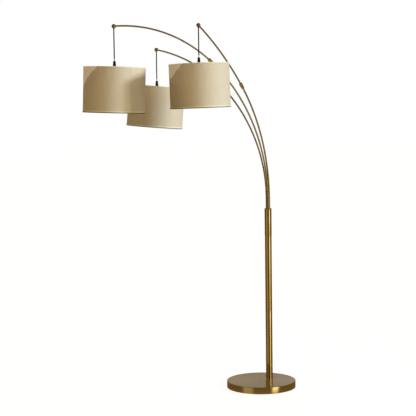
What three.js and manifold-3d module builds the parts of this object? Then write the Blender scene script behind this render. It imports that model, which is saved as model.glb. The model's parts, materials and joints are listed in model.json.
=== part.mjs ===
// A three-arm arc floor lamp: a weighted round base, a straight pole, and three bent tube arms that each
// carry a drum shade on a short cord. Millimetres, +Z up, origin on the floor under the base's centre.
import * as THREE from 'three';
import { mergeVertices } from 'three/addons/utils/BufferGeometryUtils.js';
import Module from 'manifold-3d';

const wasm = await Module();
wasm.setup();

// ---------------------------------------------------------------- driving dimensions

const GAP = 0.3; // between two pieces that touch

const BORE_SIDES = 16; // of the bores for the stud and the arms

const BASE = {
  radius: 202, height: 40, skin: 1.2, skinRoom: 1, edgeRound: 2.4, rimLift: 1.5, sides: 48,
  padThickness: 3, padRadius: 197, grooveWidth: 17, grooveTop: 25, recessRadius: 19, recessTop: 18,
};

// The bush in the base's side where a mains lead would leave; height is of its centre.
const GROMMET = { bore: 4.2, radius: 7, flange: 8.6, depth: 9, flangeThickness: 1.5, height: 17, sides: 12 };

const STUD = {
  radius: 5.8, bore: 4, bottom: 5.5, top: 68, nutRadius: 11, nutLift: 1, nutTop: 14.5, washerRadius: 16,
};

const POLE = {
  x: 53, y: 91, top: 1049, radius: 20, wall: 1.5, plug: 26, seam: 440, holderBottom: 888,
  holderRadius: 20.7, holderShoulder: 6, spigot: 30, spigotWall: 2.5, sides: 20,
};

const CAP = { height: 6, lip: 0.8, chamfer: 1.5, topChamfer: 1.2, sides: 24 }; // on top of the arm holder

// The holder's three arm bores, and the smaller cord hole through the floor of each.
const SOCKET = { depth: 90, floor: 10, ringRadius: 9.6, cordHole: 4, cordHoleSides: 8 };

const LOWER_TUBE = { radius: 5, bore: 3.9, sides: 10, boreSides: 6, steps: 17 };
const UPPER_TUBE = { radius: 4.8, bore: 3.8, sides: 8, boreSides: 6, steps: 14 };
const SLEEVE = {
  length: 36, tail: 7.9, waist: 9.4, waistHeight: -4, radius: 10, shoulder: 10, barrelTop: 15, mouth: 8.2,
  bendRoom: 0.4, sides: 14,
};
const BALL = { radius: 12, tubeStop: 9, cordHole: 4.6, sides: 14, rings: 10, boreSides: 12 };
const BUSHING = { bore: 3.6, radius: 4.2, flange: 5.2, top: -10.6, seat: -12.3, mouth: -13.5, sides: 12 };

const CORD = { radius: 3.1, sides: 8, steps: 12, tuck: 2 };

// Heights in a pendant are measured from its shade's top edge, which is one drop below the ball.
const GRIP = { radius: 4.6, bore: 3.6, bottom: 24, tipStart: 43, tipRadius: 3.9, aboveRim: 48, sides: 12 };
const LAMPHOLDER = {
  capTop: 31, glandTip: 7, glandRadius: 8, glandTop: 29, glandBottom: 24, neckRadius: 6.6, neckTop: 23,
  neckBottom: 20, bodyRadius: 8.4, bodyTop: 18, bodyBottom: 6, capShoulder: -1, capRadius: 17.4, capBottom: -12,
  capBore: 14.5, domeTop: 4, domeBottom: -3, radius: 17.2, bottom: -58, bore: 13.9, boreTop: -24,
  flange: 22, flangeBottom: -15, wireHole: 8, sides: 16,
};
const NUT = { radius: 24, top: -21.4, bottom: -30.6 };
const HUB = { height: -18.2, thickness: 2, radius: 23, bore: 18.8, sides: 16 };
const SHADE = {
  radius: 168, height: 246, wall: 1.2, wire: 3, wireInset: 1, wireRoom: 0.4, legWire: 1.6, legSides: 6,
  sides: 32,
};
const BULB = { radius: 30, centre: -104, neck: 12.6, neckTop: -52, neckLength: 8, wall: 1, sides: 12 };
const SCREW = {
  top: -27, tip: 4, tipBase: -29, insulator: 6, collar: -31, neck: 11, threadTop: -33, thread: 13.3,
  threadBottom: -50, neckTop: -51.5, bottom: -56, sides: 12,
};

// heading: direction of reach, in degrees from +X. hole: bearing of the arm's bore in the holder.
// rise: straight length above the holder. lean: the shade's own slant on its hub, about +Y.
const ARMS = [
  {
    name: 'long', heading: 213.8, hole: 270, rise: 52, lowerRadius: 1024, lowerBend: 52.1,
    upperRadius: 883, upperBend: 43.3, drop: 218, lean: 2,
  },
  {
    name: 'rear', heading: 162.7, hole: 150, rise: 59, lowerRadius: 959, lowerBend: 41.3,
    upperRadius: 798, upperBend: 36.9, drop: 218, lean: 4.9,
  },
  {
    name: 'short', heading: 225.3, hole: 30, rise: 56, lowerRadius: 1080, lowerBend: 37.9,
    upperRadius: 1712, upperBend: 16.1, drop: 209, lean: -1.6,
  },
];

// ---------------------------------------------------------------- materials

function finish(color, roughness, metalness) {
  return new THREE.MeshStandardMaterial({ color, roughness, metalness });
}

const MATERIAL = {
  brass: finish(0x9a7a45, 0.32, 1),
  baseBrass: finish(0x948465, 0.4, 1),
  stone: finish(0x8a8680, 0.95, 0),
  pad: finish(0x1c1b1a, 0.9, 0),
  steel: finish(0x9b9da0, 0.4, 1),
  blackPlastic: finish(0x1a1a1b, 0.45, 0),
  clearPlastic: finish(0xc9cbcf, 0.2, 0),
  cord: finish(0x5a5b60, 0.7, 0),
  fabric: finish(0xb2a27e, 0.9, 0),
  wire: finish(0xd8d4c8, 0.5, 0.6),
  glass: finish(0xf2efe6, 0.25, 0),
  screwMetal: finish(0xb9b2a0, 0.35, 1),
};

// ---------------------------------------------------------------- shape helpers

const degrees = THREE.MathUtils.degToRad;

// A solid turned about Z, from [radius, height] pairs that start and end on the axis.
function turned(profile, sides) {
  const points = profile.map(([radius, height]) => new THREE.Vector2(radius, height));
  return new THREE.LatheGeometry(points, sides).rotateX(Math.PI / 2);
}

// A ring turned about Z, from [radius, height] pairs that go once round its section.
function ring(profile, sides) {
  return turned([...profile, profile[0]], sides);
}

// A plain disc or rod about Z.
function disc(radius, bottom, top, sides) {
  return turned([[0, bottom], [radius, bottom], [radius, top], [0, top]], sides);
}

// The radius of a many-sided bore whose flats stay one gap clear of a round piece.
function clearOf(radius, sides) {
  return (radius + GAP) / Math.cos(Math.PI / sides);
}

function polygon(radius, sides) {
  return Array.from({ length: sides }, (_, i) => {
    const angle = (2 * Math.PI * i) / sides;
    return new THREE.Vector2(radius * Math.cos(angle), radius * Math.sin(angle));
  });
}

// A round section swept along a curve, hollow where a bore is given.
function swept(curve, steps, radius, sides, bore = 0, boreSides = 0) {
  const shape = new THREE.Shape(polygon(radius, sides));
  if (bore > 0) shape.holes.push(new THREE.Path(polygon(bore, boreSides)));
  return new THREE.ExtrudeGeometry(shape, { steps, extrudePath: curve, bevelEnabled: false });
}

function toManifold(geometry) {
  const bare = new THREE.BufferGeometry();
  bare.setAttribute('position', geometry.attributes.position.clone());
  if (geometry.index) bare.setIndex(geometry.index.clone());
  const merged = mergeVertices(bare, 1e-3);
  const index = merged.index.array;
  const triVerts = [];
  for (let i = 0; i < index.length; i += 3) {
    const [a, b, c] = [index[i], index[i + 1], index[i + 2]];
    if (a !== b && b !== c && c !== a) triVerts.push(a, b, c);
  }
  return new wasm.Manifold(new wasm.Mesh({
    numProp: 3,
    vertProperties: merged.attributes.position.array,
    triVerts: new Uint32Array(triVerts),
  }));
}

function toGeometry(solid) {
  const { vertProperties, triVerts } = solid.getMesh();
  const geometry = new THREE.BufferGeometry();
  geometry.setAttribute('position', new THREE.BufferAttribute(vertProperties, 3));
  geometry.setIndex(new THREE.BufferAttribute(triVerts, 1));
  geometry.computeVertexNormals();
  return geometry;
}

function cut(geometry, ...tools) {
  return toGeometry(tools.reduce((solid, tool) => solid.subtract(toManifold(tool)), toManifold(geometry)));
}

function join(geometry, ...others) {
  return toGeometry(others.reduce((solid, other) => solid.add(toManifold(other)), toManifold(geometry)));
}

function add(parent, name, geometry, material) {
  const mesh = new THREE.Mesh(geometry, material);
  mesh.name = name;
  parent.add(mesh);
  return mesh;
}

function group(parent, position = [0, 0, 0], rotation = [0, 0, 0]) {
  const child = new THREE.Group();
  child.position.set(...position);
  child.rotation.set(...rotation);
  parent.add(child);
  return child;
}

// ---------------------------------------------------------------- base

const poleBearing = Math.atan2(POLE.y, POLE.x);
const poleReach = Math.hypot(POLE.x, POLE.y);

const studBore = () => disc(clearOf(STUD.radius, BORE_SIDES), 0, POLE.top, BORE_SIDES);
const studHole = () => studBore().translate(POLE.x, POLE.y, 0);

function nutRecess(floor) {
  return disc(BASE.recessRadius, floor, BASE.recessTop, POLE.sides).translate(POLE.x, POLE.y, 0);
}

// Turns a piece made about Z at the origin to lie along the mains inlet, pointing out of the base's side.
function alongInlet(geometry) {
  return geometry.rotateY(Math.PI / 2).translate(0, 0, GROMMET.height).rotateZ(poleBearing);
}

function baseCover() {
  const { radius, height, skin, edgeRound, rimLift } = BASE;
  const corner = radius - edgeRound;
  const edge = [0, 30, 60, 90].map((angle) => [
    corner + edgeRound * Math.cos(degrees(angle)),
    height - edgeRound + edgeRound * Math.sin(degrees(angle)),
  ]);
  const shell = turned([
    [0, height - skin], [radius - skin, height - skin], [radius - skin, rimLift], [radius, rimLift],
    ...edge, [0, height],
  ], BASE.sides);
  const inletRadius = clearOf(GROMMET.radius, GROMMET.sides);
  const inlet = disc(inletRadius, radius - GROMMET.depth, radius + GROMMET.depth, GROMMET.sides);
  return cut(shell, studHole(), alongInlet(inlet));
}

function baseWeight() {
  const { radius, height, skin, skinRoom, padThickness, grooveWidth, grooveTop } = BASE;
  const body = disc(radius - skin - skinRoom, padThickness + GAP, height - skin - GAP, BASE.sides);
  const groove = new THREE.BoxGeometry(radius, grooveWidth, grooveTop);
  groove.translate(poleReach + radius / 2, 0, grooveTop / 2).rotateZ(poleBearing);
  return cut(body, studHole(), nutRecess(0), groove);
}

function basePad() {
  return cut(disc(BASE.padRadius, 0, BASE.padThickness, BASE.sides), nutRecess(-1));
}

function cordGrommet() {
  const { bore, radius, flange, depth, flangeThickness, sides } = GROMMET;
  const inner = BASE.radius - depth;
  const seat = BASE.radius + GAP;
  const face = seat + flangeThickness;
  const section = [
    [bore, inner], [radius, inner], [radius, seat], [flange, seat], [flange, face], [bore, face],
  ];
  return alongInlet(ring(section, sides));
}

function addBase(root) {
  add(root, 'base_cover', baseCover(), MATERIAL.baseBrass);
  add(root, 'base_weight', baseWeight(), MATERIAL.stone);
  add(root, 'base_pad', basePad(), MATERIAL.pad);
  add(root, 'cord_grommet', cordGrommet(), MATERIAL.blackPlastic);
}

// ---------------------------------------------------------------- pole

function addPole(root) {
  const pole = group(root, [POLE.x, POLE.y, 0]);
  addStud(pole);
  addTubes(pole);
  addArmHolder(pole);
}

function addStud(pole) {
  const { radius, bore, bottom, top, nutRadius, nutLift, nutTop, washerRadius } = STUD;
  const stud = [[bore, bottom], [radius, bottom], [radius, top], [bore, top]];
  add(pole, 'pole_stud', ring(stud, BORE_SIDES), MATERIAL.steel);
  const hexNut = disc(nutRadius, bottom + nutLift, nutTop, 6);
  add(pole, 'pole_nut', cut(hexNut, studBore()), MATERIAL.steel);

  const inner = clearOf(radius, POLE.sides);
  const [washerBottom, washerTop] = [nutTop + GAP, BASE.recessTop - GAP];
  const washer = [
    [inner, washerBottom], [washerRadius, washerBottom], [washerRadius, washerTop], [inner, washerTop],
  ];
  add(pole, 'pole_washer', ring(washer, POLE.sides), MATERIAL.steel);
}

function addTubes(pole) {
  const { radius, wall, plug, seam, sides, spigot, spigotWall, holderBottom } = POLE;
  const inner = radius - wall;
  const studRoom = clearOf(STUD.radius, sides);
  const foot = BASE.height + GAP;
  const lower = [
    [studRoom, foot], [radius, foot], [radius, seam], [inner, seam], [inner, foot + plug],
    [studRoom, foot + plug],
  ];
  add(pole, 'pole_lower', ring(lower, sides), MATERIAL.brass);

  const [upperFoot, upperTop] = [seam + GAP, holderBottom - GAP];
  const upper = [[inner, upperFoot], [radius, upperFoot], [radius, upperTop], [inner, upperTop]];
  add(pole, 'pole_upper', ring(upper, sides), MATERIAL.brass);

  const outside = inner - GAP;
  const inside = outside - spigotWall;
  const coupler = [
    [inside, seam - spigot], [outside, seam - spigot], [outside, seam + spigot], [inside, seam + spigot],
  ];
  add(pole, 'pole_coupler', ring(coupler, sides), MATERIAL.steel);
}

function addArmHolder(pole) {
  const { radius, wall, holderBottom, holderRadius, holderShoulder, spigot, spigotWall, top, sides } = POLE;
  const spigotRadius = radius - wall - GAP;
  const spigotBore = spigotRadius - spigotWall;
  const bore = holderRadius - wall;
  const capFoot = top - CAP.height;
  const holderTop = capFoot - GAP;
  const holder = [
    [spigotBore, holderBottom - spigot], [spigotRadius, holderBottom - spigot], [spigotRadius, holderBottom],
    [holderRadius, holderBottom], [holderRadius, holderTop], [bore, holderTop],
    [bore, holderBottom + holderShoulder], [spigotBore, holderBottom + holderShoulder],
  ];
  add(pole, 'arm_holder', ring(holder, sides), MATERIAL.brass);

  const armBore = clearOf(LOWER_TUBE.radius, BORE_SIDES);
  const boreFloor = top - SOCKET.depth - GAP;
  const { cordHole, cordHoleSides } = SOCKET;
  const atHole = (geometry, arm) => geometry.translate(...holeOffset(arm), 0);
  const bores = ARMS.map((arm) => atHole(disc(armBore, boreFloor, top + GAP, BORE_SIDES), arm));
  const cordHoles = ARMS.map((arm) => atHole(disc(cordHole, 0, top, cordHoleSides), arm));
  const block = disc(bore - GAP, boreFloor - SOCKET.floor, holderTop - GAP, sides);
  add(pole, 'arm_socket_block', cut(block, ...bores, ...cordHoles), MATERIAL.steel);

  const lip = holderRadius + CAP.lip;
  const cap = turned([
    [0, capFoot], [holderRadius, capFoot], [lip, capFoot + CAP.chamfer], [lip, top - CAP.chamfer],
    [lip - CAP.topChamfer, top], [0, top],
  ], CAP.sides);
  add(pole, 'holder_cap', cut(cap, ...bores), MATERIAL.brass);
}

function holeOffset(arm) {
  const bearing = degrees(arm.hole);
  return [SOCKET.ringRadius * Math.cos(bearing), SOCKET.ringRadius * Math.sin(bearing)];
}

// ---------------------------------------------------------------- arms

// The centreline of an arm in its own plane, X along its reach: straight out of the holder, then two arcs.
// distance is measured along the tube from its foot in the holder. tilt is the tube's angle from vertical.
function alongArm(arm, distance) {
  const curved = Math.max(0, distance - SOCKET.depth - arm.rise);
  const lowerArc = Math.min(curved, arm.lowerRadius * degrees(arm.lowerBend));
  const knee = lowerArc / arm.lowerRadius;
  const tilt = knee + (curved - lowerArc) / arm.upperRadius;
  const x = arm.lowerRadius * (1 - Math.cos(knee)) + arm.upperRadius * (Math.cos(knee) - Math.cos(tilt));
  const bent = arm.lowerRadius * Math.sin(knee) + arm.upperRadius * (Math.sin(tilt) - Math.sin(knee));
  const straight = Math.min(distance, SOCKET.depth + arm.rise) - SOCKET.depth;
  return { x, z: straight + bent, tilt };
}

class ArmSpan extends THREE.Curve {
  constructor(arm, start, end) {
    super();
    this.arm = arm;
    this.start = start;
    this.end = end;
  }

  getPoint(t, target = new THREE.Vector3()) {
    const { x, z } = alongArm(this.arm, this.start + t * (this.end - this.start));
    return target.set(x, 0, z);
  }
}

const jointDistance = (arm) => SOCKET.depth + arm.rise + arm.lowerRadius * degrees(arm.lowerBend);
const armLength = (arm) => jointDistance(arm) + arm.upperRadius * degrees(arm.upperBend);

function sleeveShape() {
  const half = SLEEVE.length / 2;
  const lowerBore = clearOf(LOWER_TUBE.radius + SLEEVE.bendRoom, SLEEVE.sides);
  const upperBore = clearOf(UPPER_TUBE.radius + SLEEVE.bendRoom, SLEEVE.sides);
  return ring([
    [lowerBore, -half], [SLEEVE.tail, -half], [SLEEVE.waist, SLEEVE.waistHeight],
    [SLEEVE.radius, SLEEVE.shoulder], [SLEEVE.radius, SLEEVE.barrelTop], [SLEEVE.mouth, half],
    [upperBore, half], [upperBore, 0], [lowerBore, 0],
  ], SLEEVE.sides);
}

function ballShape(tilt) {
  const { radius, sides, rings, boreSides, cordHole } = BALL;
  const ball = new THREE.SphereGeometry(radius, sides, rings).rotateX(Math.PI / 2);
  const tubeBore = disc(clearOf(UPPER_TUBE.radius, boreSides), -2 * radius, 0, boreSides).rotateY(tilt);
  const cordBore = disc(cordHole, -2 * radius, 0, boreSides);
  return cut(ball, tubeBore, cordBore);
}

function bushingShape() {
  const { bore, radius, flange, top, seat, mouth, sides } = BUSHING;
  return ring([
    [bore, mouth], [flange, mouth], [flange, seat], [radius, seat], [radius, top], [bore, top],
  ], sides);
}

function addArm(root, arm) {
  const [holeX, holeY] = holeOffset(arm);
  const frame = group(root, [POLE.x + holeX, POLE.y + holeY, POLE.top], [0, 0, degrees(arm.heading)]);
  const joint = jointDistance(arm);
  const length = armLength(arm);

  const lowerPath = new ArmSpan(arm, 0, joint - GAP);
  const upperPath = new ArmSpan(arm, joint + GAP, length - BALL.tubeStop);
  const lower = LOWER_TUBE;
  const upper = UPPER_TUBE;
  const lowerTube = swept(lowerPath, lower.steps, lower.radius, lower.sides, lower.bore, lower.boreSides);
  const upperTube = swept(upperPath, upper.steps, upper.radius, upper.sides, upper.bore, upper.boreSides);
  add(frame, `${arm.name}_arm_lower_tube`, lowerTube, MATERIAL.brass);
  add(frame, `${arm.name}_arm_upper_tube`, upperTube, MATERIAL.brass);

  const knee = alongArm(arm, joint);
  const sleeve = add(frame, `${arm.name}_arm_sleeve`, sleeveShape(), MATERIAL.brass);
  sleeve.position.set(knee.x, 0, knee.z);
  sleeve.rotation.y = knee.tilt;

  const tip = alongArm(arm, length);
  const end = group(frame, [tip.x, 0, tip.z]);
  add(end, `${arm.name}_arm_ball`, ballShape(tip.tilt), MATERIAL.brass);
  add(end, `${arm.name}_cord_bushing`, bushingShape(), MATERIAL.blackPlastic);
}

// Where an arm's ball is, in the lamp's own frame.
function ballCentre(arm) {
  const tip = alongArm(arm, armLength(arm));
  const [holeX, holeY] = holeOffset(arm);
  const heading = degrees(arm.heading);
  const x = POLE.x + holeX + tip.x * Math.cos(heading);
  const y = POLE.y + holeY + tip.x * Math.sin(heading);
  return [x, y, POLE.top + tip.z];
}

// ---------------------------------------------------------------- pendants

function capShape() {
  const {
    capTop, glandTip, glandRadius, glandTop, glandBottom, neckRadius, neckTop, neckBottom, bodyRadius,
    bodyTop, bodyBottom, capShoulder, capRadius, capBottom, capBore, domeTop, domeBottom, sides,
  } = LAMPHOLDER;
  const gripBore = clearOf(GRIP.radius, sides);
  return ring([
    [GRIP.bore, neckTop], [GRIP.bore, domeTop], [capBore, domeBottom], [capBore, capBottom],
    [capRadius, capBottom], [capRadius, capShoulder], [bodyRadius, bodyBottom], [bodyRadius, bodyTop],
    [neckRadius, neckBottom], [neckRadius, neckTop], [glandRadius, glandBottom], [glandRadius, glandTop],
    [glandTip, capTop], [gripBore, capTop], [gripBore, neckTop],
  ], sides);
}

function lampholderShape() {
  const { radius, bottom, bore, boreTop, flange, flangeBottom, wireHole, capBottom, sides } = LAMPHOLDER;
  const top = capBottom - GAP;
  return ring([
    [bore, bottom], [radius, bottom], [radius, flangeBottom], [flange, flangeBottom], [flange, top],
    [wireHole, top], [wireHole, boreTop], [bore, boreTop],
  ], sides);
}

function nutShape() {
  const { radius, top, bottom } = NUT;
  const bore = clearOf(LAMPHOLDER.radius, LAMPHOLDER.sides);
  return ring([[bore, bottom], [radius, bottom], [radius, top], [bore, top]], LAMPHOLDER.sides);
}

function bulbShape() {
  const { radius, centre, neck, neckTop, neckLength, wall, sides } = BULB;
  const bulge = (size) => [0, 30, 60, 90, 115, 135].map((angle) => [
    size * Math.sin(degrees(angle)), centre - size * Math.cos(degrees(angle)),
  ]);
  const outside = [...bulge(radius), [neck, neckTop - neckLength], [neck, neckTop]];
  const inside = [...bulge(radius - wall), [neck - wall, neckTop - neckLength], [neck - wall, neckTop]];
  return turned([...outside, ...inside.reverse()], sides);
}

function screwShape() {
  const {
    top, tip, tipBase, insulator, collar, neck, threadTop, thread, threadBottom, neckTop, bottom, sides,
  } = SCREW;
  return turned([
    [0, bottom], [neck, bottom], [neck, neckTop], [thread, threadBottom], [thread, threadTop], [neck, collar],
    [insulator, tipBase], [tip, top], [0, top],
  ], sides);
}

const shadeWireRadius = SHADE.radius - SHADE.wall - SHADE.wireRoom; // outside of the wires in the drum

function wireRing(bottom) {
  const inside = shadeWireRadius - SHADE.wire;
  const top = bottom + SHADE.wire;
  const outside = shadeWireRadius;
  return ring([[inside, bottom], [outside, bottom], [outside, top], [inside, top]], SHADE.sides);
}

function spiderShape() {
  const { wire, wireInset, legWire, legSides } = SHADE;
  const { height, thickness, radius, bore, sides } = HUB;
  const [hubBottom, hubTop] = [height - thickness / 2, height + thickness / 2];
  const hub = ring([[bore, hubBottom], [radius, hubBottom], [radius, hubTop], [bore, hubTop]], sides);
  const legFoot = new THREE.Vector3(radius - legWire, 0, height);
  const legEnd = new THREE.Vector3(shadeWireRadius - wire / 2, 0, -wireInset - wire / 2);
  const leg = new THREE.LineCurve3(legFoot, legEnd);
  const legs = [0, 120, 240].map((bearing) => swept(leg, 1, legWire, legSides).rotateZ(degrees(bearing)));
  return join(wireRing(-wireInset - wire), hub, ...legs);
}

function drumShape() {
  const { radius, wall, height, sides } = SHADE;
  return ring([[radius - wall, -height], [radius, -height], [radius, 0], [radius - wall, 0]], sides);
}

function gripShape() {
  const { radius, bore, bottom, tipStart, tipRadius, aboveRim, sides } = GRIP;
  return ring([
    [bore, bottom], [radius, bottom], [radius, tipStart], [tipRadius, aboveRim], [bore, aboveRim],
  ], sides);
}

function addPendant(root, arm) {
  const [x, y, z] = ballCentre(arm);
  const hanging = group(root, [x, y, z - arm.drop]);
  const { tuck } = CORD;
  const top = new THREE.Vector3(0, 0, arm.drop + BUSHING.mouth + tuck);
  const bottom = new THREE.Vector3(0, 0, GRIP.aboveRim - tuck);
  const cord = swept(new THREE.LineCurve3(top, bottom), CORD.steps, CORD.radius, CORD.sides);
  add(hanging, `${arm.name}_cord`, cord, MATERIAL.cord);
  add(hanging, `${arm.name}_cord_grip`, gripShape(), MATERIAL.clearPlastic);
  add(hanging, `${arm.name}_lampholder_cap`, capShape(), MATERIAL.blackPlastic);
  add(hanging, `${arm.name}_lampholder`, lampholderShape(), MATERIAL.blackPlastic);
  add(hanging, `${arm.name}_shade_nut`, nutShape(), MATERIAL.blackPlastic);
  add(hanging, `${arm.name}_bulb`, bulbShape(), MATERIAL.glass);
  add(hanging, `${arm.name}_bulb_screw`, screwShape(), MATERIAL.screwMetal);

  // The shade sits a little crooked on its hub, so it turns about the hub's centre.
  const hub = group(hanging, [0, 0, HUB.height], [0, degrees(arm.lean), 0]);
  const shade = group(hub, [0, 0, -HUB.height]);
  const bottomRing = wireRing(SHADE.wireInset - SHADE.height);
  add(shade, `${arm.name}_shade_spider`, spiderShape(), MATERIAL.wire);
  add(shade, `${arm.name}_shade_drum`, drumShape(), MATERIAL.fabric);
  add(shade, `${arm.name}_shade_bottom_ring`, bottomRing, MATERIAL.wire);
}

// ---------------------------------------------------------------- the lamp

const lamp = new THREE.Group();
addBase(lamp);
addPole(lamp);
for (const arm of ARMS) {
  addArm(lamp, arm);
  addPendant(lamp, arm);
}

export default lamp;
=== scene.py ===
# An arc floor lamp with three drum shades: the fine surfaces, materials, light and camera round its CAD
# frame. Metres, +Z up, with the origin on the floor under the base's centre.
import json
import math
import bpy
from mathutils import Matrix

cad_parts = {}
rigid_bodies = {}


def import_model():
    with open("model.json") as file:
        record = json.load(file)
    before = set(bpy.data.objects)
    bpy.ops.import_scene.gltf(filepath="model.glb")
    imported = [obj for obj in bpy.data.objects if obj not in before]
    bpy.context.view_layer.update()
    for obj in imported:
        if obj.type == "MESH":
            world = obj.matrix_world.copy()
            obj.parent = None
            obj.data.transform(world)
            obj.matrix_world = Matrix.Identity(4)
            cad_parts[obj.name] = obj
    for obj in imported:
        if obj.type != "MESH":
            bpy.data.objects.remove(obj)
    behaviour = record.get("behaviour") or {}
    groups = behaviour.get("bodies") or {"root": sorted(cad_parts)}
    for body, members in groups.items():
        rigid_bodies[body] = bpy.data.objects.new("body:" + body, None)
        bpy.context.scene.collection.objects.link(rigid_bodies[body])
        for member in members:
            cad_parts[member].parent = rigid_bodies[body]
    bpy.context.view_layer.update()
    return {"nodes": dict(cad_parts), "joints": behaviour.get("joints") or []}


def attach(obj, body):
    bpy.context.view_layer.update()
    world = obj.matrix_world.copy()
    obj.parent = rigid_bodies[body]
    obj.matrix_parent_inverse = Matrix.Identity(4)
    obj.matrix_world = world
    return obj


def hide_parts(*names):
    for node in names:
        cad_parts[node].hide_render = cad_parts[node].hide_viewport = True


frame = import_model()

from types import SimpleNamespace as Sizes

import bmesh
import bpy
from mathutils import Matrix, Vector

# ---------------------------------------------------------------- sizes
# A shape that CAD has too keeps the CAD source's sizes.

BASE = Sizes(radius=0.202, height=0.040, skin=0.0012, round=0.0024, lift=0.0015)
# The line turned in the cover's top, inside its rounded edge, and how far in the extra flat ring lies.
LINE = Sizes(inside=0.0022, half=0.0006, depth=0.0004, flat=0.004)
PAD = Sizes(radius=0.197, height=0.003, recess=0.019)
INLET = Sizes(bore=0.0042, radius=0.007, flange=0.0086, depth=0.009, lip=0.0018, height=0.017)
POLE = Sizes(x=0.053, y=0.091, top=1.049, radius=0.020, wall=0.0015, seam=0.440, holder=0.888)
HOLDER = Sizes(radius=0.0207, cap=0.006, lip=0.0008, bore=0.0053, socket=0.090, spigot=0.030,
               spigot_wall=0.0025, shoulder=0.006)
# The arms' two tubes.
LOWER = Sizes(radius=0.005, bore=0.0039)
UPPER = Sizes(radius=0.0048, bore=0.0038)
BALL = Sizes(radius=0.012, wall=0.0012, stop=0.009, hole=0.0046, pivot=0.0135)
# The flex is drawn a little fuller than its diameter, so that it reads as well from afar as the real one.
CORD = Sizes(radius=0.0033, diameter=0.0062, top=0.0115, bottom=0.046, points=16)
HUB = Sizes(height=-0.0182, radius=0.023, bore=0.0188, thickness=0.002)
SHADE = Sizes(radius=0.168, height=0.246, wire=0.0015, wire_ring=0.1649, wire_depth=0.0025, leg=0.0016)
BULB = Sizes(radius=0.030, wall=0.001, centre=-0.104, neck=0.0126, neck_top=-0.052)
# The clearance between neighbouring pieces.
GAP = 0.0003

# rise is an arm's straight length above its holder. The bends and the shade's lean are in degrees, and so is
# seam, the bearing of the shade's glued seam round from +X.
ARMS = [
    Sizes(name="long", rise=0.052, lower_radius=1.024, lower_bend=52.1, upper_radius=0.883, upper_bend=43.3,
          drop=0.218, lean=2.0, seam=-54.5),
    Sizes(name="rear", rise=0.059, lower_radius=0.959, lower_bend=41.3, upper_radius=0.798, upper_bend=36.9,
          drop=0.218, lean=4.9, seam=70),
    Sizes(name="short", rise=0.056, lower_radius=1.080, lower_bend=37.9, upper_radius=1.712, upper_bend=16.1,
          drop=0.209, lean=-1.6, seam=110),
]

# The frame's joints say where each arm stands, which way it points and where its ball is.
JOINTS = {joint["name"]: joint for joint in frame["joints"]}
for arm in ARMS:
    swing = JOINTS[f"{arm.name}_cord_swing"]
    sway = JOINTS[f"{arm.name}_shade_sway"]
    arm.foot = Vector(JOINTS[f"{arm.name}_arm_swivel"]["pos_m"])
    arm.heading = math.atan2(sway["axis"][1], sway["axis"][0])
    arm.ball = Vector(swing["pos_m"]) + Vector((0, 0, BALL.pivot))
    arm.rim = arm.ball - Vector((0, 0, arm.drop))

# ---------------------------------------------------------------- camera

CAMERA = Sizes(place=(-0.3014, -7.150, 1.686), pitch=-4.98, roll=-0.74, lens=106.44, sensor=36)


def add_camera():
    data = bpy.data.cameras.new("camera")
    data.lens = CAMERA.lens
    data.sensor_width = CAMERA.sensor
    data.clip_end = 100
    camera = bpy.data.objects.new("camera", data)
    pitch = Matrix.Rotation(math.radians(90 + CAMERA.pitch), 4, "X")
    roll = Matrix.Rotation(math.radians(CAMERA.roll), 4, "Z")
    camera.matrix_world = Matrix.Translation(CAMERA.place) @ pitch @ roll
    bpy.context.scene.collection.objects.link(camera)
    bpy.context.scene.camera = camera


add_camera()

# ---------------------------------------------------------------- materials


class Nodes:
    """A node tree: add() makes a node and sets or links its inputs."""

    def __init__(self, tree):
        self.tree = tree

    def put(self, node, key, value):
        socket = node.inputs[key]
        if isinstance(value, bpy.types.NodeSocket):
            self.tree.links.new(value, socket)
        else:
            socket.default_value = value

    def add(self, kind, inputs, output=0, **settings):
        node = self.tree.nodes.new(kind)
        for key, value in settings.items():
            setattr(node, key, value)
        for key, value in inputs.items():
            self.put(node, key, value)
        return node.outputs[output]

    def math(self, operation, a, b=0.0):
        return self.add("ShaderNodeMath", {0: a, 1: b}, operation=operation)

    def split(self, vector):
        """The X, Y and Z of a vector."""
        node = self.tree.nodes.new("ShaderNodeSeparateXYZ")
        self.put(node, 0, vector)
        return [node.outputs[axis] for axis in "XYZ"]


class Recipe(Nodes):
    """A material's nodes round its Principled shader, whose inputs set() sets or links."""

    def __init__(self, name, **sockets):
        self.material = bpy.data.materials.new(name)
        self.material.use_nodes = True
        super().__init__(self.material.node_tree)
        self.shader = self.tree.nodes["Principled BSDF"]
        self.set(**sockets)

    def set(self, **sockets):
        for key, value in sockets.items():
            self.put(self.shader, key.replace("_", " "), value)

    def coordinates(self, output, scale=(1, 1, 1)):
        source = self.add("ShaderNodeTexCoord", {}, output)
        return self.add("ShaderNodeMapping", {"Vector": source, "Scale": scale})

    def noise(self, vector, scale, detail=3.0, roughness=0.5):
        values = {"Vector": vector, "Scale": scale, "Detail": detail, "Roughness": roughness}
        return self.add("ShaderNodeTexNoise", values)

    def ramp(self, value, low, high, start=0.0, end=1.0):
        """value from start to end becomes low to high."""
        values = {"Value": value, "From Min": start, "From Max": end, "To Min": low, "To Max": high}
        return self.add("ShaderNodeMapRange", values)

    def mix(self, share, a, b):
        """Colour a where share is 0 and b where it is 1. A Mix node's colours are its inputs 6 and 7."""
        a, b = ((*colour, 1) if isinstance(colour, tuple) else colour for colour in (a, b))
        return self.add("ShaderNodeMix", {"Factor": share, 6: a, 7: b}, 2, data_type="RGBA")

    def bump(self, height, distance, strength=1.0):
        values = {"Height": height, "Distance": distance, "Strength": strength}
        self.set(Normal=self.add("ShaderNodeBump", values))


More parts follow.
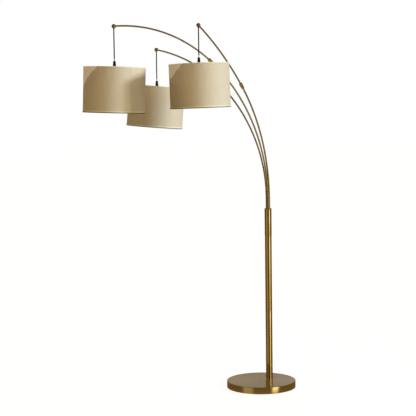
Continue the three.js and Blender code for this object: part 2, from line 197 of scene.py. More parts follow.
def brass(name, colour, dark, roughness=0.12):
    """Lacquered brass, polished in fine rings. UVs are in metres: U round the piece and V along it."""
    metal = Recipe(name, Metallic=1.0, Anisotropic=0.6, Anisotropic_Rotation=0.25)
    rings = metal.noise(metal.coordinates("UV", (3, 2600, 1)), 1.0, 4)
    patina = metal.noise(metal.coordinates("Object"), 30.0, 5, 0.6)
    tone = metal.math("ADD", metal.math("MULTIPLY", patina, 0.8), metal.math("MULTIPLY", rings, 0.2))
    metal.set(Base_Color=metal.mix(metal.ramp(tone, 0, 1, 0.30, 0.62), dark, colour))
    metal.set(Roughness=metal.math("ADD", metal.ramp(rings, -0.02, 0.02), roughness))
    metal.bump(rings, 0.00001, 0.4)
    return metal.material


def spun_brass():
    """The base's cover, turned on a spindle, so that its finest lines are rings about Z."""
    metal = Recipe("spun_brass", Metallic=1.0, Anisotropic=0.8, Anisotropic_Rotation=0.25)
    metal.set(Tangent=metal.add("ShaderNodeTangent", {}, direction_type="RADIAL", axis="Z"))
    source = metal.add("ShaderNodeTexCoord", {}, "Object")
    flat = metal.add("ShaderNodeVectorMath", {0: source, 1: (1, 1, 0)}, operation="MULTIPLY")
    reach = metal.add("ShaderNodeVectorMath", {0: flat}, "Value", operation="LENGTH")
    turned = {"W": reach, "Scale": 900.0, "Detail": 4.0}
    rings = metal.add("ShaderNodeTexNoise", turned, noise_dimensions="1D")
    patina = metal.noise(metal.coordinates("Object"), 9.0, 5, 0.6)
    tone = metal.math("ADD", metal.math("MULTIPLY", patina, 0.6), metal.math("MULTIPLY", rings, 0.4))
    share = metal.ramp(tone, 0, 1, 0.35, 0.65)
    metal.set(Base_Color=metal.mix(share, (0.50, 0.38, 0.19), (0.58, 0.45, 0.24)))
    metal.set(Roughness=metal.ramp(rings, 0.17, 0.24))
    metal.bump(rings, 0.00002, 0.4)
    return metal.material


def woven(name, warp, weft, pitch, satin, relief):
    """Cloth of two threads over and under. UVs are in metres: U round the shade and V up it."""
    cloth = Recipe(name, Sheen_Weight=0.05, Sheen_Roughness=0.4, Specular_IOR_Level=satin)
    u, v, _ = cloth.split(cloth.add("ShaderNodeTexCoord", {}, "UV"))
    turn = math.pi / pitch
    across = cloth.math("SINE", cloth.math("MULTIPLY", u, turn))
    upward = cloth.math("SINE", cloth.math("MULTIPLY", v, turn))
    over = cloth.ramp(cloth.math("MULTIPLY", across, upward), 0, 1, -0.25, 0.25)
    slub_round = cloth.noise(cloth.coordinates("UV", (22, 900, 1)), 1.0, 3, 0.6)
    slub_up = cloth.noise(cloth.coordinates("UV", (900, 30, 1)), 1.0, 3, 0.6)
    cloudy = cloth.noise(cloth.coordinates("Object"), 26.0, 4, 0.6)
    threads = cloth.math("ADD", cloth.math("MULTIPLY", slub_round, 0.6),
                         cloth.math("MULTIPLY", slub_up, 0.4))
    yarn = cloth.mix(over, warp, weft)
    shaded = tuple(0.70 * part for part in weft)
    darker = cloth.mix(cloth.ramp(threads, 0, 0.34, 0.40, 0.66), yarn, shaded)
    cloth.set(Base_Color=cloth.mix(cloth.ramp(cloudy, 0, 0.22, 0.4, 0.7), darker, warp))
    cloth.set(Roughness=cloth.ramp(threads, 0.46, 0.66, 0.3, 0.7))
    ridge = cloth.math("MAXIMUM", cloth.math("ABSOLUTE", across), cloth.math("ABSOLUTE", upward))
    weave = cloth.math("ADD", cloth.math("MULTIPLY", ridge, 0.6), cloth.math("MULTIPLY", threads, 0.6))
    cloth.bump(weave, relief, 0.7)
    return cloth.material


def painted_wire():
    paint = Recipe("painted_wire", Coat_Weight=0.3, Coat_Roughness=0.2)
    chips = paint.noise(paint.coordinates("Object"), 420.0, 5, 0.6)
    share = paint.ramp(chips, 0, 1, 0.62, 0.72)
    paint.set(Base_Color=paint.mix(share, (0.66, 0.64, 0.58), (0.40, 0.38, 0.34)))
    paint.set(Roughness=paint.ramp(chips, 0.35, 0.5))
    paint.bump(chips, 0.00006)
    return paint.material


def grained(name, grain, low, high, roughness, relief=0.0, stretch=(1, 1, 1), **sockets):
    """A material of one fine grain, which mixes two colours, varies the roughness and lifts the surface.
    grain is its noise's scale, detail and roughness. roughness is one number, or the two it runs between."""
    finish = Recipe(name, **sockets)
    noise = finish.noise(finish.coordinates("Object", stretch), *grain)
    varied = isinstance(roughness, tuple)
    finish.set(Base_Color=finish.mix(noise, low, high))
    finish.set(Roughness=finish.ramp(noise, *roughness) if varied else roughness)
    if relief:
        finish.bump(noise, relief)
    return finish.material


MATERIAL = {
    "tube": brass("antique_brass_tube", (0.55, 0.42, 0.185), (0.47, 0.34, 0.135)),
    # The arms' brass is the tube's brass drawn darker, as painted shade for the dim room the sloping arms
    # reflect.
    "arm": brass("antique_brass_arm", (0.43, 0.35, 0.18), (0.33, 0.26, 0.125), roughness=0.22),
    "fitting": brass("antique_brass_fitting", (0.60, 0.44, 0.18), (0.50, 0.35, 0.13)),
    "ball": brass("antique_brass_ball", (0.42, 0.30, 0.12), (0.28, 0.19, 0.065)),
    "base": spun_brass(),
    "stone": grained("cast_stone", (90, 8, 0.7), (0.16, 0.15, 0.14), (0.33, 0.32, 0.30), 0.92,
                     relief=0.0008),
    "felt": grained("felt_pad", (700, 6, 0.75), (0.008, 0.008, 0.008), (0.035, 0.033, 0.030), 0.95,
                    relief=0.0005, Sheen_Weight=0.4, Sheen_Roughness=0.5),
    "steel": grained("zinc_steel", (240, 4, 0.6), (0.36, 0.37, 0.39), (0.60, 0.61, 0.62), (0.28, 0.48),
                     relief=0.00004, Metallic=1.0),
    "black": grained("black_plastic", (1400, 3, 0.6), (0.001, 0.001, 0.001), (0.005, 0.005, 0.005),
                     (0.32, 0.46), relief=0.00005, Specular_IOR_Level=0.3),
    "clear": grained("clear_plastic", (300, 3, 0.5), (0.72, 0.74, 0.79), (0.90, 0.91, 0.93), (0.10, 0.28),
                     Transmission_Weight=0.75, IOR=1.46),
    # The flex's grain is drawn out along it.
    "cord": grained("cord_sheath", (900, 4, 0.6), (0.004, 0.004, 0.006), (0.012, 0.013, 0.017), (0.38, 0.55),
                    relief=0.00006, stretch=(1, 1, 0.2), Specular_IOR_Level=0.25),
    "cloth": woven("champagne_cloth", (0.62, 0.55, 0.41), (0.55, 0.475, 0.34), pitch=0.00085, satin=0.5,
                   relief=0.00022),
    "tape": woven("hem_tape", (0.78, 0.78, 0.60), (0.66, 0.67, 0.48), pitch=0.0006, satin=0.6,
                  relief=0.00012),
    # The fold under the bottom tape: painted shade, where the rolled hem's underside falls dark.
    "edge": woven("hem_edge", (0.20, 0.16, 0.075), (0.13, 0.10, 0.045), pitch=0.0006, satin=0.4,
                  relief=0.00012),
    "liner": grained("white_liner", (500, 4, 0.6), (0.70, 0.68, 0.62), (0.80, 0.78, 0.73), (0.5, 0.65),
                     relief=0.00005, Specular_IOR_Level=0.35),
    "wire": painted_wire(),
    "glass": grained("frosted_glass", (120, 4, 0.5), (0.80, 0.78, 0.73), (0.90, 0.89, 0.86), (0.30, 0.42),
                     Transmission_Weight=0.35, IOR=1.45, Subsurface_Weight=0.2,
                     Subsurface_Radius=(0.004, 0.004, 0.004)),
    # The cap's marks run round it.
    "screw": grained("screw_metal", (260, 4, 0.5), (0.52, 0.49, 0.43), (0.78, 0.76, 0.71), (0.18, 0.38),
                     relief=0.00005, stretch=(1, 1, 8), Metallic=1.0),
}

# ---------------------------------------------------------------- mesh helpers

# Where two faces turn by more than this, their edge is kept crisp.
SHARP = math.radians(34)


def into_object(name, bm, material):
    """A smooth-shaded object from a bmesh, which is used up."""
    bmesh.ops.recalc_face_normals(bm, faces=bm.faces)
    for face in bm.faces:
        face.smooth = True
    for edge in bm.edges:
        edge.smooth = edge.calc_face_angle(0) < SHARP
    mesh = bpy.data.meshes.new(name)
    bm.to_mesh(mesh)
    bm.free()
    mesh.materials.append(material)
    piece = bpy.data.objects.new(name, mesh)
    bpy.context.scene.collection.objects.link(piece)
    return piece


def arc(centre, radius, start, end, steps):
    """Points on an arc of an outline, between two angles in degrees: 0 points outwards and 90 up."""
    angles = [math.radians(start + (end - start) * i / steps) for i in range(steps + 1)]
    return [(centre[0] + radius * math.cos(a), centre[1] + radius * math.sin(a)) for a in angles]


def softened(outline, radius, steps=4, closed=True):
    """The outline with its corners rounded, each to the radius or to what its sides have room for."""
    rounded = []
    count = len(outline)
    for i, point in enumerate(outline):
        here = Vector(point)
        if not closed and i in (0, count - 1):
            rounded.append(tuple(here))
            continue
        before = Vector(outline[i - 1]) - here
        after = Vector(outline[(i + 1) % count]) - here
        room = min(radius, before.length * 0.45, after.length * 0.45)
        start = here + before.normalized() * room
        end = here + after.normalized() * room
        for step in range(steps + 1):
            t = step / steps
            rounded.append(tuple(start * (1 - t) ** 2 + here * 2 * t * (1 - t) + end * t ** 2))
    return rounded


def lathe(name, outline, material, sides=64, relief=None):
    """A turned solid about Z. The outline is (radius, height) pairs that start and end on the axis, or go
    once round a section that closes. relief(angle, radius, height) is added to the radius. UVs are in
    metres."""
    bm = bmesh.new()
    uv = bm.loops.layers.uv.new("UVMap")
    widest = max(radius for radius, _ in outline)
    solid = outline[0][0] == 0
    travelled = [0.0]
    for (r0, z0), (r1, z1) in zip(outline, outline[1:] + outline[:1]):
        travelled.append(travelled[-1] + math.hypot(r1 - r0, z1 - z0))
    rings = []
    for radius, height in outline:
        if radius == 0:
            rings.append([bm.verts.new((0, 0, height))] * sides)
            continue
        ring = []
        for i in range(sides):
            angle = 2 * math.pi * i / sides
            reach = radius + (relief(angle, radius, height) if relief else 0)
            ring.append(bm.verts.new((reach * math.cos(angle), reach * math.sin(angle), height)))
        rings.append(ring)
    spans = len(rings) - 1 if solid else len(rings)
    for k in range(spans):
        low, high = rings[k], rings[(k + 1) % len(rings)]
        for i in range(sides):
            j = (i + 1) % sides
            corners = [(low[i], i, k), (low[j], i + 1, k), (high[j], i + 1, k + 1), (high[i], i, k + 1)]
            unique = [c for n, c in enumerate(corners) if c[0] not in [d[0] for d in corners[:n]]]
            face = bm.faces.new([vertex for vertex, _, _ in unique])
            for loop, (_, column, row) in zip(face.loops, unique):
                loop[uv].uv = (2 * math.pi * widest * column / sides, travelled[row])
    return into_object(name, bm, material)


def sweep(name, points, outer_radius, material, sides, bore=0.0):
    """A round bar, or a tube where it has a bore, along points in the local XZ plane."""
    bm = bmesh.new()
    uv = bm.loops.layers.uv.new("UVMap")
    points = [Vector(point) for point in points]
    side = Vector((0, 1, 0))
    travelled = 0.0
    walls = {"outer": [], "inner": []}
    stations = []
    for k, point in enumerate(points):
        if k:
            travelled += (point - points[k - 1]).length
        stations.append(travelled)
        tangent = (points[min(k + 1, len(points) - 1)] - points[max(k - 1, 0)]).normalized()
        lift = side.cross(tangent)
        for wall, radius in (("outer", outer_radius), ("inner", bore)):
            if radius == 0:
                continue
            turns = [2 * math.pi * i / sides for i in range(sides)]
            walls[wall].append([bm.verts.new(point + radius * (math.cos(a) * lift + math.sin(a) * side))
                                for a in turns])
    for rings in walls.values():
        for k in range(len(rings) - 1):
            for i in range(sides):
                j = (i + 1) % sides
                face = bm.faces.new([rings[k][i], rings[k][j], rings[k + 1][j], rings[k + 1][i]])
                places = [(i, k), (i + 1, k), (i + 1, k + 1), (i, k + 1)]
                for loop, (column, row) in zip(face.loops, places):
                    loop[uv].uv = (2 * math.pi * outer_radius * column / sides, stations[row])
    for end in (0, -1):
        outer = walls["outer"][end]
        if bore == 0:
            bm.faces.new(outer)
            continue
        inner = walls["inner"][end]
        for i in range(sides):
            j = (i + 1) % sides
            bm.faces.new([outer[i], outer[j], inner[j], inner[i]])
    return into_object(name, bm, material)


def rebuilt(piece, bm):
    """Gives a piece the mesh that a bmesh holds, with its sharp edges found again."""
    material = piece.data.materials[0]
    name = piece.name
    home = piece.matrix_world.copy()
    bpy.data.objects.remove(piece)
    fresh = into_object(name, bm, material)
    fresh.matrix_world = home
    return fresh


def cutter(radius, low, high, sides=48):
    """A plain drum about Z for cut(), whose ends lie clear of the piece that it goes through."""
    return lathe("cutter", [(0, low), (radius, low), (radius, high), (0, high)], None, sides)


def cut(piece, *tools):
    """Takes the tools' shapes out of a piece. The tools are used up."""
    for tool in tools:
        modifier = piece.modifiers.new("cut", "BOOLEAN")
        modifier.operation = "DIFFERENCE"
        modifier.solver = "EXACT"
        modifier.object = tool
    bpy.context.view_layer.update()
    evaluated = piece.evaluated_get(bpy.context.evaluated_depsgraph_get())
    bm = bmesh.new()
    bm.from_mesh(evaluated.to_mesh())
    evaluated.to_mesh_clear()
    for tool in tools:
        bpy.data.objects.remove(tool)
    return rebuilt(piece, bm)


def merged(name, parts):
    """Several pieces of one material as one object, with its origin where the first one's is."""
    bm = bmesh.new()
    material = parts[0].data.materials[0]
    home = parts[0].matrix_world.copy()
    for part in parts:
        mesh = part.data.copy()
        mesh.transform(home.inverted() @ part.matrix_world)
        bm.from_mesh(mesh)
    for part in parts:
        bpy.data.objects.remove(part)
    whole = into_object(name, bm, material)
    whole.matrix_world = home
    return whole


def place(piece, matrix, body, slot, *nodes):
    """Puts a piece where it belongs, on its body, in the stead of the CAD nodes named."""
    piece.matrix_world = matrix
    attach(piece, body)
    if nodes:
        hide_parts(*nodes)
    return piece


# ---------------------------------------------------------------- pendant cords


def pendant_place(arm):
    return Matrix.Translation(arm.rim)


def add_cord(arm):
    """The cord hangs straight from the ball's bushing to the clear grip, drawn taut by the shade."""
    top = arm.drop - CORD.top
    length = top - CORD.bottom
    curve = bpy.data.curves.new(f"{arm.name}_pendant_cord", "CURVE")
    curve.dimensions = "3D"
    curve.bevel_depth = CORD.radius
    curve.bevel_resolution = 6
    curve.use_fill_caps = True
    spline = curve.splines.new("POLY")
    spline.points.add(CORD.points - 1)
    for i, point in enumerate(spline.points):
        point.co = (*(arm.rim + Vector((0, 0, top - length * i / (CORD.points - 1)))), 1)
    curve.materials.append(MATERIAL["cord"])
    cord = bpy.data.objects.new(f"{arm.name}_pendant_cord", curve)
    bpy.context.scene.collection.objects.link(cord)
    place(cord, Matrix.Identity(4), f"{arm.name}_pendant_cord", "cord_sheath", f"{arm.name}_cord")


for arm in ARMS:
    add_cord(arm)

# ---------------------------------------------------------------- base

POLE_PLACE = Matrix.Translation((POLE.x, POLE.y, 0))
INLET_PLACE = (
    Matrix.Rotation(math.atan2(POLE.y, POLE.x), 4, "Z")
    @ Matrix.Translation((0, 0, INLET.height))
    @ Matrix.Rotation(math.radians(90), 4, "Y")
)


def base_cover():
    """A spun dish, upside down: rounded at its edge, with one fine line turned just inside it. The extra
    ring a little inside the line keeps the flat top's shading flat."""
    radius, height, skin = BASE.radius, BASE.height, BASE.skin
    line = radius - BASE.round - LINE.inside
    outline = [(0, height), (line - LINE.flat, height), (line - LINE.half, height),
               (line, height - LINE.depth), (line + LINE.half, height)]
    outline += arc((radius - BASE.round, height - BASE.round), BASE.round, 90, 0, 10)
    outline += arc((radius - skin / 2, BASE.lift + skin / 2), skin / 2, 0, -180, 6)
    outline += [(radius - skin, height - skin), (0, height - skin)]
    cover = lathe("base_cover_spun", outline, MATERIAL["base"], 192)
    hole = cutter(INLET.radius, radius - 0.012, radius + 0.01)
    hole.matrix_world = INLET_PLACE
    return cut(cover, hole)


def base_pad():
    """The non-slip pad, with a recess under the pole's stud."""
    outline = [(0, 0), (PAD.radius, 0), (PAD.radius, PAD.height), (0, PAD.height)]
    pad = lathe("base_pad_felt", softened(outline, 0.0012, closed=False), MATERIAL["felt"], 144)
    recess = cutter(PAD.recess, -0.001, 0.01, 64)
    recess.matrix_world = POLE_PLACE
    return cut(pad, recess)


def inlet_bush():
    inner = BASE.radius - INLET.depth
    seat = BASE.radius + GAP
    face = BASE.radius + INLET.lip
    outline = [(INLET.bore, inner), (INLET.radius, inner), (INLET.radius, seat), (INLET.flange, seat),
               (INLET.flange, face), (INLET.bore, face)]
    return lathe("cord_inlet_bush", softened(outline, 0.0007), MATERIAL["black"], 48)


place(base_cover(), Matrix.Identity(4), "stand", "turned_brass", "base_cover")
place(base_pad(), Matrix.Identity(4), "stand", "felt_pad", "base_pad")
place(inlet_bush(), INLET_PLACE, "stand", "black_plastic", "cord_grommet")

# ---------------------------------------------------------------- pole and arm holder


def pole_tube(name, bottom, top):
    inner = POLE.radius - POLE.wall
    outline = [(inner, bottom), (POLE.radius, bottom), (POLE.radius, top), (inner, top)]
    return lathe(name, softened(outline, 0.0005), MATERIAL["tube"], 96)


def arm_holder():
    """The wider tube at the pole's head, with its spigot down inside the pole."""
    spigot = POLE.radius - POLE.wall - GAP
    bore = HOLDER.radius - POLE.wall
    foot = POLE.holder
    head = POLE.top - HOLDER.cap - GAP
    inner = spigot - HOLDER.spigot_wall
    low, shoulder = foot - HOLDER.spigot, foot + HOLDER.shoulder
    outline = [(inner, low), (spigot, low), (spigot, foot), (HOLDER.radius, foot), (HOLDER.radius, head),
               (bore, head), (bore, shoulder), (inner, shoulder)]
    return lathe("arm_holder_tube", softened(outline, 0.0006), MATERIAL["tube"], 96)


def holder_cap():
    """The cap: a turned disc with a proud chamfered lip, bored for the three arms."""
    low, high = POLE.top - HOLDER.cap, POLE.top
    lip = HOLDER.radius + HOLDER.lip
    outline = [(0, low), (HOLDER.radius, low), (lip, low + 0.0012), (lip, high - 0.0020),
               (lip - 0.0018, high), (0, high)]
    cap = lathe("arm_holder_cap", softened(outline, 0.0005, closed=False), MATERIAL["fitting"], 96)
    bores = []
    for arm in ARMS:
        bore = cutter(HOLDER.bore, low - 0.01, high + 0.01)
        bore.matrix_world = Matrix.Translation((arm.foot.x - POLE.x, arm.foot.y - POLE.y, 0))
        bores.append(bore)
    return cut(cap, *bores)


pole_lower = pole_tube("pole_tube_lower", BASE.height + GAP, POLE.seam)
pole_upper = pole_tube("pole_tube_upper", POLE.seam + GAP, POLE.holder - GAP)
place(pole_lower, POLE_PLACE, "stand", "antique_brass", "pole_lower")
place(pole_upper, POLE_PLACE, "stand", "antique_brass", "pole_upper")
place(arm_holder(), POLE_PLACE, "stand", "antique_brass", "arm_holder")
place(holder_cap(), POLE_PLACE, "stand", "antique_brass", "holder_cap")

# ---------------------------------------------------------------- arms


def along_arm(arm, distance):
    """A point of the arm's centreline in its own plane, and the tilt there: straight, then two arcs."""
    curved = max(0.0, distance - HOLDER.socket - arm.rise)
    lower_arc = min(curved, arm.lower_radius * math.radians(arm.lower_bend))
    knee = lower_arc / arm.lower_radius
    tilt = knee + (curved - lower_arc) / arm.upper_radius
    reach = arm.lower_radius * (1 - math.cos(knee)) + arm.upper_radius * (math.cos(knee) - math.cos(tilt))
    bent = arm.lower_radius * math.sin(knee) + arm.upper_radius * (math.sin(tilt) - math.sin(knee))
    straight = min(distance, HOLDER.socket + arm.rise) - HOLDER.socket
    return Vector((reach, 0, straight + bent)), tilt


def arm_tube(arm, name, start, end, tube):
    spacing = 0.008
    steps = math.ceil((end - start) / spacing)
    points = [along_arm(arm, start + (end - start) * i / steps)[0] for i in range(steps + 1)]
    return sweep(name, points, tube.radius, MATERIAL["arm"], 40, tube.bore)


def sleeve(name):
    """The joint sleeve: a slim tail that swells into a short barrel with a turned line and a coned mouth."""
    half = 0.018
    clearance = 0.0007
    lower_bore, upper_bore = LOWER.radius + clearance, UPPER.radius + clearance
    outline = [(lower_bore, -half), (0.0079, -half), (0.0094, -0.004), (0.0100, half - 0.008),
               (0.0097, half - 0.0072), (0.0100, half - 0.0064), (0.0100, half - 0.003), (0.0082, half),
               (upper_bore, half), (upper_bore, 0.0), (lower_bore, 0.0)]
    return lathe(name, softened(outline, 0.0010), MATERIAL["fitting"], 64)


def end_ball(name, tilt):
    """The hollow ball at the arm's end, bored for the tube behind it and for the cord under it. Its outline
    goes once round the wall, so at the top it stops just short of the axis."""
    hole_angle = math.degrees(math.asin(BALL.hole / BALL.radius))
    inner = BALL.radius - BALL.wall
    near_axis = 0.00001
    outline = arc((0, 0), BALL.radius, -90 + hole_angle, 90, 40)
    outline[-1] = (near_axis, BALL.radius)
    outline += [(near_axis, inner)] + arc((0, 0), inner, 88, -90 + hole_angle * 1.1, 24)
    ball = lathe(name, outline, MATERIAL["ball"], 72)
    bore = cutter(UPPER.radius + GAP, -0.02, -0.002)
    bore.matrix_world = Matrix.Rotation(tilt, 4, "Y")
    return cut(ball, bore)


def bushing(name):
    """The flanged bush in the ball's mouth, which the cord hangs through."""
    bore, neck, flange = 0.0040, 0.00455, 0.0052
    low, seat, high = -BALL.pivot, -0.0123, -0.0106
    outline = [(bore, low), (flange, low), (flange, seat), (neck, seat), (neck, high), (bore, high)]
    return lathe(name, softened(outline, 0.0003), MATERIAL["black"], 48)


def add_arm(arm):
    name = f"{arm.name}_arm"
    frame_of_arm = Matrix.Translation(arm.foot) @ Matrix.Rotation(arm.heading, 4, "Z")
    knee = HOLDER.socket + arm.rise + arm.lower_radius * math.radians(arm.lower_bend)
    length = knee + arm.upper_radius * math.radians(arm.upper_bend)
    knee_point, knee_tilt = along_arm(arm, knee)
    tip_point, tip_tilt = along_arm(arm, length)

    lower = arm_tube(arm, f"{name}_tube_lower", 0, knee - GAP, LOWER)
    upper = arm_tube(arm, f"{name}_tube_upper", knee + GAP, length - BALL.stop, UPPER)
    place(lower, frame_of_arm, name, "antique_brass", f"{name}_lower_tube")
    place(upper, frame_of_arm, name, "antique_brass", f"{name}_upper_tube")
    at_knee = frame_of_arm @ Matrix.Translation(knee_point) @ Matrix.Rotation(knee_tilt, 4, "Y")
    place(sleeve(f"{name}_joint_sleeve"), at_knee, name, "antique_brass", f"{name}_sleeve")
    at_tip = frame_of_arm @ Matrix.Translation(tip_point)
    place(end_ball(f"{name}_end_ball", tip_tilt), at_tip, name, "antique_brass", f"{name}_ball")
    place(bushing(f"{arm.name}_ball_bushing"), at_tip, name, "black_plastic", f"{arm.name}_cord_bushing")


for arm in ARMS:
    add_arm(arm)

# ---------------------------------------------------------------- lampholders and bulbs


def grip(name):
    """The clear grip that holds the cord: a cup, a slim waist and a shoulder that enters the cap."""
    outline = [(0, 0.0454), (0.0037, 0.0454), (0.0037, 0.048), (0.0042, 0.048), (0.0042, 0.0440),
               (0.0024, 0.0415), (0.0024, 0.0345), (0.0046, 0.0325), (0.0046, 0.024), (0, 0.024)]
    return lathe(name, softened(outline, 0.0008, closed=False), MATERIAL["clear"], 48)


def holder_top(name):
    """The lampholder's cap: a knurled gland, a waist, a neck and a domed skirt."""
    outline = [(0.0049, 0.031), (0.0049, 0.023), (0.0036, 0.023), (0.0036, 0.004), (0.0145, -0.003),
               (0.0145, -0.012), (0.0174, -0.012), (0.0174, -0.0020), (0.0155, 0.0008), (0.0105, 0.0032),
               (0.0084, 0.0060), (0.0084, 0.018), (0.0066, 0.020), (0.0066, 0.023), (0.0080, 0.024),
               (0.0080, 0.029), (0.0070, 0.031)]
    ribs = 20

    def knurl(angle, radius, height):
        on_gland = 0.0242 < height < 0.0292 and radius > 0.0075
        on_skirt = -0.0112 < height < -0.0030 and radius > 0.017
        depth = 0.0004 if on_gland else 0.0003 if on_skirt else 0
        turns = ribs if on_gland else 2 * ribs
        return -depth * (0.5 + 0.5 * math.cos(turns * angle))

    return lathe(name, softened(outline, 0.0009), MATERIAL["black"], 320, knurl)


def lampholder(name):
    """The lampholder's body, with a flange above and a screwed barrel for the shade's ring nut."""
    pitch, turns = 0.0022, 16
    crest, root = 0.0172, 0.0166
    thread = []
    for turn in range(turns):
        height = -0.0215 - turn * pitch
        thread += [(crest, height), (root, height - pitch / 2)]
    outline = [(0.0139, -0.058), (0.0139, -0.024), (0.008, -0.024), (0.008, -0.0123), (0.022, -0.0123),
               (0.022, -0.015), (0.0172, -0.015), (0.0172, -0.0205)] + thread + [(0.0170, -0.058)]
    return lathe(name, softened(outline, 0.0006), MATERIAL["black"], 72)


def ring_nut(name):
    """The ring nut under the shade's hub, with finger lobes round it."""
    lobes = 12
    outline = [(0.0176, -0.0306), (0.024, -0.0306), (0.024, -0.0214), (0.0176, -0.0214)]

    def lobe(angle, radius, height):
        return -0.0012 * (0.5 + 0.5 * math.cos(lobes * angle)) ** 3 if radius > 0.0222 else 0

    return lathe(name, softened(outline, 0.0010), MATERIAL["black"], 192, lobe)


def bulb(name):
    """A frosted bulb: a round globe whose sides draw in to the neck along one smooth curve."""
    low, high = BULB.centre, BULB.neck_top
    globe_end = 32
    leaving = math.radians(globe_end + 90)
    pull, collar, steps = 0.012, 0.006, 12

    def side(inset):
        globe = arc((0, low), BULB.radius - inset, -90, globe_end, 26)
        globe[0] = (0, low - BULB.radius + inset)
        start, end = Vector(globe[-1]), Vector((BULB.neck - inset, high - collar))
        bend = Vector((math.cos(leaving), math.sin(leaving)))
        shoulder = [start + bend * pull, end + Vector((0, -pull))]
        neck = []
        for i in range(1, steps + 1):
            t = i / steps
            neck.append(tuple(start * (1 - t) ** 3 + shoulder[0] * 3 * t * (1 - t) ** 2
                              + shoulder[1] * 3 * t ** 2 * (1 - t) + end * t ** 3))
        return globe + neck + [(BULB.neck - inset, high)]

    return lathe(name, side(0) + side(BULB.wall)[::-1], MATERIAL["glass"], 72)


def bulb_screw(name):
    """The bulb's screw cap: a pressed thread, the insulator's cone and the tip contact."""
    pitch, depth, radius = 0.0035, 0.0005, 0.0128
    bottom, top = -0.050, -0.033
    rows = 40
    thread = [(radius, bottom + (top - bottom) * i / rows) for i in range(rows + 1)]
    outline = [(0, -0.056), (0.011, -0.056), (0.011, -0.0515)] + thread
    outline += [(0.011, -0.031), (0.006, -0.029), (0.004, -0.0275), (0.002, -0.027), (0, -0.027)]

    def wave(angle, radius, height):
        if not bottom < height < top:
            return 0
        return depth * math.cos(2 * math.pi * (height - bottom) / pitch - angle)

    return lathe(name, outline, MATERIAL["screw"], 72, wave)


def add_lampholder(arm):
    here = pendant_place(arm)
    body = f"{arm.name}_shade"
    place(grip(f"{arm.name}_clear_grip"), here, body, "clear_plastic", f"{arm.name}_cord_grip")
    place(holder_top(f"{arm.name}_holder_top"), here, body, "black_plastic", f"{arm.name}_lampholder_cap")
    place(lampholder(f"{arm.name}_holder_barrel"), here, body, "black_plastic", f"{arm.name}_lampholder")
    place(ring_nut(f"{arm.name}_ring_nut"), here, body, "black_plastic", f"{arm.name}_shade_nut")
    place(bulb(f"{arm.name}_bulb_glass"), here, body, "bulb_glass", f"{arm.name}_bulb")
    place(bulb_screw(f"{arm.name}_bulb_cap"), here, body, "screw_metal", f"{arm.name}_bulb_screw")


for arm in ARMS:
    add_lampholder(arm)

# ---------------------------------------------------------------- shades

CLOTH = Sizes(thickness=0.0005, lap=0.012, step=0.0007, taper=0.0015, sag=0.0004, ripple=0.00012,
              ripple_from=0.004, inside=0.0001, margin=0.0004, columns=300, rows=28, fine=0.0005,
              fine_columns=30)
# inside: how far the liner and the tapes' backs lie within the drum's radius. top and bottom are the tapes'
# heights on the cloth, and edge is that of the fold below, drawn dark as painted shade under the rolled hem.
LINER = Sizes(inside=0.0012, thickness=0.0003, margin=0.0006)
TAPE = Sizes(top=0.005, bottom=0.0065, edge=0.0042, over=0.0004, split=0.0001, proud=0.0010, inside=0.0016)


def shade_place(arm):
    turn = Matrix.Rotation(math.radians(arm.lean), 4, "Y")
    to_hub = Matrix.Translation((0, 0, HUB.height))
    return pendant_place(arm) @ to_hub @ turn @ to_hub.inverted()


def wire_ring(name, height):
    section = arc((SHADE.wire_ring, height), SHADE.wire, 0, 330, 11)
    return lathe(name, section, MATERIAL["wire"], 192)


def spider(name):
    """The shade's carrier: the top wire, the hub and three legs welded between them."""
    half = HUB.thickness / 2
    hub = [(HUB.bore, HUB.height - half), (HUB.radius, HUB.height - half), (HUB.radius, HUB.height + half),
           (HUB.bore, HUB.height + half)]
    rim = -SHADE.wire_depth
    parts = [wire_ring(name, rim), lathe("hub", softened(hub, 0.0005), MATERIAL["wire"], 96)]
    start, end = HUB.radius - 0.001, SHADE.wire_ring
    steps = 40
    points = []
    for i in range(steps + 1):
        t = i / steps
        eased = t * t * (3 - 2 * t)
        climb = 0.75 * t + 0.25 * eased
        points.append((start + (end - start) * t, 0, HUB.height + (rim - HUB.height) * climb))
    for bearing in (0, 120, 240):
        leg = sweep("leg", points, SHADE.leg, MATERIAL["wire"], 16)
        leg.matrix_world = Matrix.Rotation(math.radians(bearing), 4, "Z")
        parts.append(leg)
    return merged(name, parts)


def cloth_reach(turned, height):
    """The cloth's outside: a little drawn in between its wires, faintly rippled away from its glued end,
    and one step out where it laps over its other end."""
    away = turned * SHADE.radius
    edge = min(away / CLOTH.ripple_from, 1)
    over = 1 - min(max((away - CLOTH.lap) / CLOTH.taper, 0), 1)
    middle = math.sin(math.pi * height / SHADE.height)
    drawn_in = middle * (CLOTH.sag + CLOTH.ripple * math.sin(9 * turned + 14 * height) * edge)
    return SHADE.radius - CLOTH.inside - drawn_in + CLOTH.step * over


